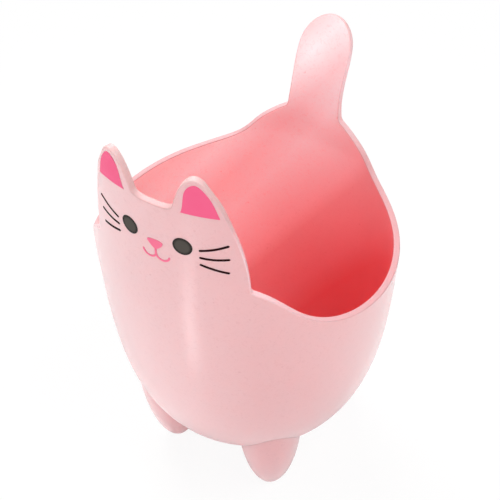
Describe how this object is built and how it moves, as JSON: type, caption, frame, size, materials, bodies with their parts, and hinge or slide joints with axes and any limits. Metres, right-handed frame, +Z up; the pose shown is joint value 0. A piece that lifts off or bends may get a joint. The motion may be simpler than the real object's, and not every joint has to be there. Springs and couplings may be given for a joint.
{
  "type": "cat-shaped holder",
  "caption": "Open round pot on short rounded legs, its wall rising into a cat's head with a printed face in front and a curled tail behind; holds toothbrushes, pens or grooming tools.",
  "frame": {"origin": "centre of the overall box in plan, on the floor that the four feet stand on; the pot's own axis is 4.8 mm in front of it, at y = -4.8 mm", "axes": "+Z up; the cat's face looks along -Y and its tail is at +Y; +X is the cat's left side"},
  "size_m": [0.096, 0.1056, 0.1652],
  "materials": {
    "pink_shell": "satin gloss, pale pink, faintly translucent",
    "pink_feet": "satin gloss, pale pink",
    "ear_pink": "printed, hot pink",
    "mouth_pink": "printed, hot pink",
    "eye_grey": "printed, dark grey",
    "whisker_ink": "printed, near black"
  },
  "bodies": {
    "root": {"shell": "pink_shell", "front_left_foot": "pink_feet", "front_right_foot": "pink_feet", "rear_left_foot": "pink_feet", "rear_right_foot": "pink_feet", "left_ear_patch": "ear_pink", "left_eye": "eye_grey", "left_upper_whisker": "whisker_ink", "left_middle_whisker": "whisker_ink", "left_lower_whisker": "whisker_ink", "right_ear_patch": "ear_pink", "right_eye": "eye_grey", "right_upper_whisker": "whisker_ink", "right_middle_whisker": "whisker_ink", "right_lower_whisker": "whisker_ink", "nose": "mouth_pink", "mouth": "mouth_pink"}
  },
  "joints": []
}
